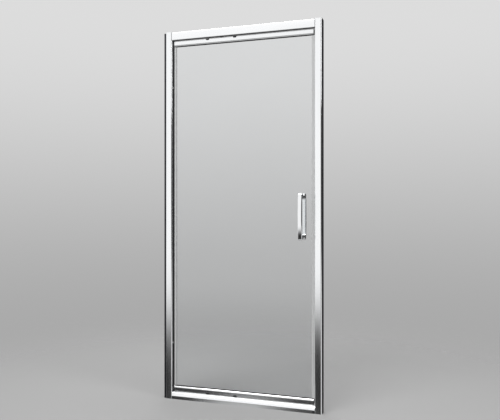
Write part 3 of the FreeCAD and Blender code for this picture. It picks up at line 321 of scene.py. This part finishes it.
# extruded and moulded pieces, shaded smoothly: node, piece, body, slot, finish
dressedNodes = [
    ("hinge_wall_profile", "hingeWallProfile", "frame", "dark_aluminium", "darkAluminium"),
    ("strike_wall_profile", "strikeWallProfile", "frame", "dark_aluminium", "darkAluminium"),
    ("hinge_jamb", "hingeJamb", "frame", "bright_aluminium", "uprightAluminium"),
    ("strike_jamb", "strikeJamb", "frame", "bright_aluminium", "uprightAluminium"),
    ("hinge_jamb_cap", "hingeJambCap", "frame", "chrome", "chrome"),
    ("strike_jamb_cap", "strikeJambCap", "frame", "chrome", "chrome"),
    ("top_rail", "topRail", "frame", "bright_aluminium", "levelAluminium"),
    ("top_rail_seal", "topRailSeal", "frame", "glazing_rubber", "glazingRubber"),
    ("threshold", "thresholdSection", "frame", "bright_aluminium", "levelAluminium"),
    ("threshold_hinge_end", "thresholdHingeEnd", "frame", "chrome", "chrome"),
    ("threshold_strike_end", "thresholdStrikeEnd", "frame", "chrome", "chrome"),
    ("hinge_jamb_strip", "hingeJambStrip", "frame", "glazing_rubber", "glazingRubber"),
    ("strike_jamb_magnet", "strikeJambMagnet", "frame", "magnet_strip", "magnetStrip"),
    ("leaf_top_rail", "leafTopRail", "leaf", "bright_aluminium", "levelAluminium"),
    ("leaf_bottom_rail", "leafBottomRail", "leaf", "bright_aluminium", "levelAluminium"),
    ("leaf_top_rail_caps", "leafTopRailCaps", "leaf", "dark_plastic", "darkPlastic"),
    ("leaf_bottom_rail_caps", "leafBottomRailCaps", "leaf", "dark_plastic", "darkPlastic"),
    ("top_glazing_gasket", "topGlazingGasket", "leaf", "glazing_rubber", "glazingRubber"),
    ("bottom_glazing_gasket", "bottomGlazingGasket", "leaf", "glazing_rubber", "glazingRubber"),
    ("hinge_edge_seal", "hingeEdgeSeal", "leaf", "clear_vinyl", "uprightVinyl"),
    ("strike_edge_seal", "strikeEdgeSeal", "leaf", "clear_vinyl", "uprightVinyl"),
    ("top_pivot_carrier", "topPivotCarrier", "leaf", "dark_plastic", "darkPlastic"),
    ("bottom_pivot_carrier", "bottomPivotCarrier", "leaf", "dark_plastic", "darkPlastic"),
]
# moulded pieces have slightly rounded edges, sawn sections a fine burr-free break
brokenEdges = {
    "threshold_hinge_end": 0.0004, "threshold_strike_end": 0.0004, "leaf_top_rail_caps": 0.0003,
    "leaf_bottom_rail_caps": 0.0003, "top_pivot_carrier": 0.0002, "bottom_pivot_carrier": 0.0002,
    "hinge_jamb": 0.00015, "strike_jamb": 0.00015, "hinge_wall_profile": 0.00015,
    "strike_wall_profile": 0.00015,
}
for node, name, body, slotName, finish in dressedNodes:
    form = dressedForm(node, brokenEdges.get(node, 0.0))
    finishPiece(form, name, body, slotName, finish, stands=(node,))
print("pieces dressed:", len(dressedNodes))


# the pane, with its edges and holes ground; a face this square to Y is left clear
glassPane = {"groundEdge": 0.0006, "clearFace": 0.99}


def makeGlassPanel():
    form = dressedForm("glass_panel", glassPane["groundEdge"])
    for face in form.faces:
        face.material_index = 0 if abs(face.normal.y) > glassPane["clearFace"] else 1
    finishPiece(form, "glassPanel", "leaf", "safety_glass", "safetyGlass", "groundGlassEdge",
                stands=("glass_panel",))


# pull handles: a bowed bar on two feet, one mirrored on the other side of the glass
handle = {
    "padThickness": 0.001, "glassThickness": 0.006, "barThickness": 0.013, "archRise": 0.006,
    "tipHeight": 0.009, "tipRadius": 0.009, "shoulderDrop": 0.001125,
    "footHeight": 0.012, "footSpacing": 0.202, "length": 0.242, "cornerRadius": 0.006,
    "outerRound": 0.0045, "outerRoundSteps": 6, "innerRound": 0.0012, "innerRoundSteps": 3,
    "archSteps": 32, "tipSteps": 8, "cornerSteps": 8,
    "heldBack": 0.000001,  # keeps the bar just inside the measured box
    # how near counts as the same place, and how far past bar and grip an edge is an outer one
    "sameWithin": 0.000001, "pastBar": 0.00001, "pastGrip": 0.0001,
}


# points of the arc between two places, without the last one; it bulges away from a core point
def bulged(start, end, radius, core, steps):
    chord = end - start
    across = Vector((-chord.y, chord.x)).normalized()
    depth = math.sqrt(radius ** 2 - (chord.length / 2) ** 2)
    middle = (start + end) / 2
    centre = min((middle + across * depth, middle - across * depth), key=lambda c: (c - core).length)
    turn = (start - centre).angle_signed(end - centre)
    arms = [(start - centre).copy() for step in range(steps)]
    for step, arm in enumerate(arms):
        arm.rotate(Matrix.Rotation(-turn * step / steps, 2))
    return [centre + arm for arm in arms]


# the handle's outline, as distance from the middle of the glass and height from its own middle
def handleOutline(reach):
    foot = handle["glassThickness"] / 2 + handle["padThickness"]
    barInner = reach - handle["barThickness"]
    barOuter = reach - handle["archRise"]
    heel = (handle["footSpacing"] + handle["footHeight"]) / 2
    clear = (handle["footSpacing"] - handle["footHeight"]) / 2
    shoulder = handle["length"] / 2 - handle["shoulderDrop"]
    tip = handle["length"] / 2 - handle["tipHeight"]
    corner = handle["cornerRadius"]
    archRadius = tip ** 2 / (2 * handle["archRise"]) + handle["archRise"] / 2
    lowShoulder = Vector((barInner, -shoulder))
    lowTip = Vector((barOuter, -tip))
    highTip = Vector((barOuter, tip))
    highShoulder = Vector((barInner, shoulder))
    low = Vector((barInner, -tip))
    core = Vector((barInner, 0))
    high = Vector((barInner, tip))
    points = [Vector((foot, -heel))]
    points += bulged(lowShoulder, lowTip, handle["tipRadius"], low, handle["tipSteps"])
    points += bulged(lowTip, highTip, archRadius, core, handle["archSteps"])
    points += bulged(highTip, highShoulder, handle["tipRadius"], high, handle["tipSteps"])
    points += [highShoulder, Vector((foot, heel)), Vector((foot, clear))]
    for sign in (1, -1):
        centre = Vector((barInner - corner, sign * (clear - corner)))
        for step in range(handle["cornerSteps"] + 1):
            angle = math.pi / 2 * (step / handle["cornerSteps"])
            turned = math.pi / 2 - angle if sign > 0 else -angle
            points.append(centre + corner * Vector((math.cos(turned), math.sin(turned))))
    points.append(Vector((foot, -clear)))
    return points, clear


def makeHandle(node, name, side):
    low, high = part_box(node)
    reach = max(abs(low.y), abs(high.y)) - handle["heldBack"]
    middle = (low.z + high.z) / 2
    points, clear = handleOutline(reach)
    form = bmesh.new()
    corners = [form.verts.new((low.x, side * p.x, middle + p.y)) for p in points]
    around = [form.edges.new(pair) for pair in zip(corners, corners[1:] + corners[:1])]
    bottom = bmesh.ops.contextual_create(form, geom=around)["faces"]
    raised = bmesh.ops.extrude_face_region(form, geom=bottom)["geom"]
    lifted = [item for item in raised if isinstance(item, bmesh.types.BMVert)]
    bmesh.ops.translate(form, verts=lifted, vec=(high.x - low.x, 0, 0))
    bmesh.ops.recalc_face_normals(form, faces=form.faces)
    # the long edges of bar and feet are rounded, strongly outside and finely beside the grip
    foot = handle["glassThickness"] / 2 + handle["padThickness"]
    pastBar = reach - handle["barThickness"] + handle["pastBar"]
    pastGrip = clear + handle["pastGrip"]
    same = handle["sameWithin"]
    rounds = [(handle["outerRound"], handle["outerRoundSteps"], True),
              (handle["innerRound"], handle["innerRoundSteps"], False)]
    for rounded, segments, outside in rounds:
        rims = []
        for edge in form.edges:
            place = (edge.verts[0].co + edge.verts[1].co) / 2
            level = abs(edge.verts[0].co.x - edge.verts[1].co.x) < same
            atEnd = min(abs(place.x - low.x), abs(place.x - high.x)) < same
            onGlass = abs(abs(place.y) - foot) < same
            isOuter = abs(place.y) > pastBar or abs(place.z - middle) > pastGrip
            if level and atEnd and not onGlass and isOuter == outside:
                rims.append(edge)
        bmesh.ops.bevel(form, geom=rims, offset=rounded, segments=segments, profile=0.5, affect="EDGES",
                        material=-1)
    finishPiece(form, name, "leaf", "chrome", "chrome", stands=(node,))


# profile screws: cheese heads with a cross recess, seated on the jambs' opening faces
screwHead = {
    "radius": 0.0045, "height": 0.004, "crownWidth": 0.0012, "crownBend": 0.0004, "segments": 32,
    "armLength": 0.0024, "armWidth": 0.0009, "recess": 0.0022, "recessTaper": 0.7,
    "shankRadius": 0.0025, "shankLength": 0.0357, "shankSegments": 24,
}


# one screw, its seat at height 0 and its head towards +X or -X
def addScrew(form, place, towards):
    radius = screwHead["radius"]
    height = screwHead["height"]
    crown = screwHead["crownWidth"]
    bend = screwHead["crownBend"]
    # rings up the side of the head and in over its crown
    rings = [(radius, 0.0), (radius, height - crown), (radius - bend, height - bend),
             (radius - crown, height)]
    loops = []
    for ringRadius, up in rings:
        made = bmesh.ops.create_circle(form, cap_ends=False, radius=ringRadius,
                                       segments=screwHead["segments"],
                                       matrix=Matrix.Translation((0, 0, up)))
        loops.append(made["verts"])
    # the outline of the cross, sunk into the head
    arm = screwHead["armLength"]
    half = screwHead["armWidth"] / 2
    outline = [(arm, half), (half, half), (half, arm), (-half, arm), (-half, half), (-arm, half),
               (-arm, -half), (-half, -half), (-half, -arm), (half, -arm), (half, -half), (arm, -half)]
    cross = [form.verts.new((x, y, height)) for x, y in outline]
    for here, there in zip(cross, cross[1:] + cross[:1]):
        form.edges.new((here, there))
    loops.append(cross)
    for below, above in zip(loops, loops[1:]):
        edges = {e for v in below + above for e in v.link_edges if len(e.link_faces) < 2}
        own = [e for e in edges if set(e.verts) <= set(below) or set(e.verts) <= set(above)]
        bmesh.ops.bridge_loops(form, edges=own)
    rim = [e for v in cross for e in v.link_edges if set(e.verts) <= set(cross)]
    sunk = bmesh.ops.extrude_edge_only(form, edges=list(set(rim)))["geom"]
    sunkVerts = [item for item in sunk if isinstance(item, bmesh.types.BMVert)]
    bmesh.ops.translate(form, verts=sunkVerts, vec=(0, 0, -screwHead["recess"]))
    bmesh.ops.scale(form, verts=sunkVerts, vec=(screwHead["recessTaper"], screwHead["recessTaper"], 1))
    bmesh.ops.contextual_create(form, geom=sunkVerts)
    bmesh.ops.contextual_create(form, geom=loops[0])
    length = screwHead["shankLength"]
    shank = bmesh.ops.create_cone(form, cap_ends=True, segments=screwHead["shankSegments"],
                                  radius1=screwHead["shankRadius"], radius2=screwHead["shankRadius"],
                                  depth=length, matrix=Matrix.Translation((0, 0, -length / 2)))
    whole = [v for loop in loops for v in loop] + sunkVerts + shank["verts"]
    turn = Matrix.Rotation(math.radians(90 * towards), 4, "Y")
    bmesh.ops.transform(form, matrix=Matrix.Translation(place) @ turn, verts=whole)


def makeProfileScrews():
    low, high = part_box("profile_screws")
    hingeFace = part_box("hinge_jamb")[1].x
    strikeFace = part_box("strike_jamb")[0].x
    depth = (low.y + high.y) / 2
    form = bmesh.new()
    for z in (low.z + screwHead["radius"], high.z - screwHead["radius"]):
        addScrew(form, Vector((hingeFace, depth, z)), 1)
        addScrew(form, Vector((strikeFace, depth, z)), -1)
    bmesh.ops.recalc_face_normals(form, faces=form.faces)
    finishPiece(form, "profileScrews", "frame", "steel", "steel", stands=("profile_screws",))


makeGlassPanel()
makeHandle("outer_handle", "outerHandle", -1)
makeHandle("inner_handle", "innerHandle", 1)
makeProfileScrews()
print("glass, handles and screws made")


# floor and light; a pair is where something starts and ends, in the floor as metres from the door,
# elsewhere as a part of the direction seen: height, sideways or from front to back
studio = {
    "floorColour": (0.44, 0.44, 0.44), "floorSize": 24.0,
    "floorFade": (0.6, 3.0), "mirroredFloorFade": (0.05, 0.35),
    # the light on the object, from below the horizon to overhead
    "low": 0.58, "level": 0.64, "high": 0.68, "lightHeights": (-0.25, 0.45), "levelStop": 0.357,
    # the backdrop, low and high
    "backLow": 0.40, "backHigh": 0.72, "backHeights": (-0.2, 0.3), "frontToBack": (-0.2, 0.3),
    # painted reflection, seen only in mirroring surfaces, of the studio's front: a white wall, a dark
    # band and a pale floor
    "paintedReflectionWhite": 1.0, "paintedReflectionDark": 0.03, "paintedReflectionFloor": 0.46,
    "paintedWallFoot": (-0.22, -0.11), "paintedWallRight": (0.34, 0.12), "paintedFloorEdge": (-0.31, -0.39),
    # painted reflection beside the backdrop, seen only in mirroring surfaces: a dark flag and a side
    # wall, itself dark at eye level
    "paintedFlagDark": 0.12, "paintedFlagEdge": (0.02, 0.16), "paintedFlagFoot": (-0.24, -0.36),
    "paintedSideWall": 0.7, "paintedSideEdge": (0.42, 0.60), "paintedSideHeights": (-0.05, -0.13), "paintedSideAtEye": 0.10,
}
lamps = [
    # name, place, aim, width, height, watts
    ("frontSoftBox", (-1.2, -4.2, 6.0), (0.0, 0.0, 1.0), 3.6, 2.6, 170.0),
    ("rightFill", (4.2, -1.6, 3.4), (0.0, 0.0, 1.0), 1.6, 2.4, 45.0),
    ("backFill", (-1.6, 3.0, 5.2), (0.0, 0.0, 1.0), 2.6, 2.0, 50.0),
]


# a floor of even colour that fades into the backdrop and keeps the shadow near the door; in reflections
# it ends near the door, so metal shows the painted reflections beyond
def makeFloor():
    form = bmesh.new()
    bmesh.ops.create_grid(form, x_segments=1, y_segments=1, size=studio["floorSize"] / 2)
    mesh = bpy.data.meshes.new("floor")
    form.to_mesh(mesh)
    form.free()
    floor = bpy.data.objects.new("floor", mesh)
    bpy.context.scene.collection.objects.link(floor)
    material = bpy.data.materials.new("floor")
    material.use_nodes = True
    material.node_tree.nodes.clear()
    paint = addNode(material, "ShaderNodeBsdfDiffuse", Color=(*studio["floorColour"], 1))
    clear = addNode(material, "ShaderNodeBsdfTransparent")
    mix = addNode(material, "ShaderNodeMixShader")
    place = addNode(material, "ShaderNodeTexCoord")
    distance = addNode(material, "ShaderNodeVectorMath")
    distance.operation = "LENGTH"
    output = addNode(material, "ShaderNodeOutputMaterial")
    join(material, place, "Object", distance, "Vector")
    fade = addRange(material, distance, "Value", *studio["floorFade"], smooth=True)
    # in reflections the floor fades out close to the door, leaving the world's painted reflections
    mirroredFade = addRange(material, distance, "Value", *studio["mirroredFloorFade"], smooth=True)
    choose = addNode(material, "ShaderNodeMix")
    join(material, addMirrored(material), "Value", choose, "Factor")
    join(material, fade, "Result", choose, "A")
    join(material, mirroredFade, "Result", choose, "B")
    join(material, choose, "Result", mix, "Fac")
    material.node_tree.links.new(paint.outputs[0], mix.inputs[1])
    material.node_tree.links.new(clear.outputs[0], mix.inputs[2])
    join(material, mix, "Shader", output, "Surface")
    mesh.materials.append(material)


# a soft light by height for the object, a pale backdrop, and for mirroring surfaces only a painted
# reflection of a white front wall, a dark flag and a side wall
def makeWorld():
    world = bpy.data.worlds.new("studio")
    bpy.context.scene.world = world
    world.use_nodes = True
    background = world.node_tree.nodes["Background"]
    place = addNode(world, "ShaderNodeTexCoord")
    way = addNode(world, "ShaderNodeSeparateXYZ")
    join(world, place, "Generated", way, "Vector")
    height = addRange(world, way, "Z", *studio["lightHeights"])
    light = addNode(world, "ShaderNodeValToRGB")
    stops = light.color_ramp.elements
    stops[0].color = (studio["low"],) * 3 + (1,)
    stops[1].color = (studio["high"],) * 3 + (1,)
    stops.new(studio["levelStop"]).color = (studio["level"],) * 3 + (1,)
    join(world, height, "Result", light, "Fac")
    # the painted reflection of the front: a white wall, dark at its foot and to its right, over a pale
    # floor
    above = addRange(world, way, "Z", *studio["paintedWallFoot"], smooth=True)
    leftwards = addRange(world, way, "X", *studio["paintedWallRight"], smooth=True)
    paintedWallMask = addMaths(world, "MULTIPLY", above, "Result", leftwards, "Result")
    paintedWallAndBand = addRange(world, paintedWallMask, "Value", 0.0, 1.0, studio["paintedReflectionDark"], studio["paintedReflectionWhite"])
    paintedReflectedFloor = addRange(world, way, "Z", *studio["paintedFloorEdge"], 0.0, studio["paintedReflectionFloor"], smooth=True)
    front = addMaths(world, "MAXIMUM", paintedWallAndBand, "Result", paintedReflectedFloor, "Result")
    back = addRange(world, way, "Z", *studio["backHeights"], studio["backLow"], studio["backHigh"],
                    smooth=True)
    # painted reflection: metal turned to the right shows a dark flag beside the backdrop, which ends
    # above the floor
    paintedFlag = addRange(world, way, "X", *studio["paintedFlagEdge"], 1.0, studio["paintedFlagDark"], smooth=True)
    belowPaintedFlag = addRange(world, way, "Z", *studio["paintedFlagFoot"], smooth=True)
    shaded = addMaths(world, "MAXIMUM", paintedFlag, "Result", belowPaintedFlag, "Result")
    backdropWithPaintedFlag = addMaths(world, "MULTIPLY", back, "Result", shaded, "Value")
    behind = addRange(world, way, "Y", *studio["frontToBack"], smooth=True)
    shown = addNode(world, "ShaderNodeMix")
    join(world, behind, "Result", shown, "Factor")
    join(world, front, "Value", shown, "A")
    join(world, backdropWithPaintedFlag, "Value", shown, "B")
    # painted reflection: the side wall is dark at eye level, so rounded edges keep a painted dark line
    rightwards = addRange(world, way, "X", *studio["paintedSideEdge"], 0.0, studio["paintedSideWall"], smooth=True)
    belowEye = addRange(world, way, "Z", *studio["paintedSideHeights"], studio["paintedSideAtEye"], smooth=True)
    side = addMaths(world, "MULTIPLY", rightwards, "Result", belowEye, "Result")
    allRound = addMaths(world, "MAXIMUM", shown, "Result", side, "Value")
    # past the object and through its glass the backdrop is the same all round; mirroring surfaces show
    # the painted reflections
    direct = addNode(world, "ShaderNodeMix")
    join(world, addMirrored(world), "Value", direct, "Factor")
    join(world, back, "Result", direct, "A")
    join(world, allRound, "Value", direct, "B")
    ray = addNode(world, "ShaderNodeLightPath")
    seen = addMaths(world, "ADD", ray, "Is Camera Ray", ray, "Is Glossy Ray")
    seenToo = addMaths(world, "ADD", seen, "Value", ray, "Is Transmission Ray")
    seenToo.use_clamp = True
    choose = addNode(world, "ShaderNodeMixRGB")
    join(world, seenToo, "Value", choose, "Fac")
    join(world, light, "Color", choose, "Color1")
    join(world, direct, "Result", choose, "Color2")
    join(world, choose, "Color", background, "Color")


def makeLamps():
    for name, place, aim, width, height, watts in lamps:
        light = bpy.data.lights.new(name, "AREA")
        light.shape = "RECTANGLE"
        light.size = width
        light.size_y = height
        light.energy = watts
        lamp = bpy.data.objects.new(name, light)
        lamp.location = place
        towards = Vector(aim) - Vector(place)
        lamp.rotation_euler = towards.to_track_quat("-Z", "Y").to_euler()
        bpy.context.scene.collection.objects.link(lamp)


makeCamera()
makeFloor()
makeWorld()
makeLamps()
bpy.context.scene.view_settings.view_transform = "Standard"
print("camera, floor and light made")

bpy.context.view_layer.update()
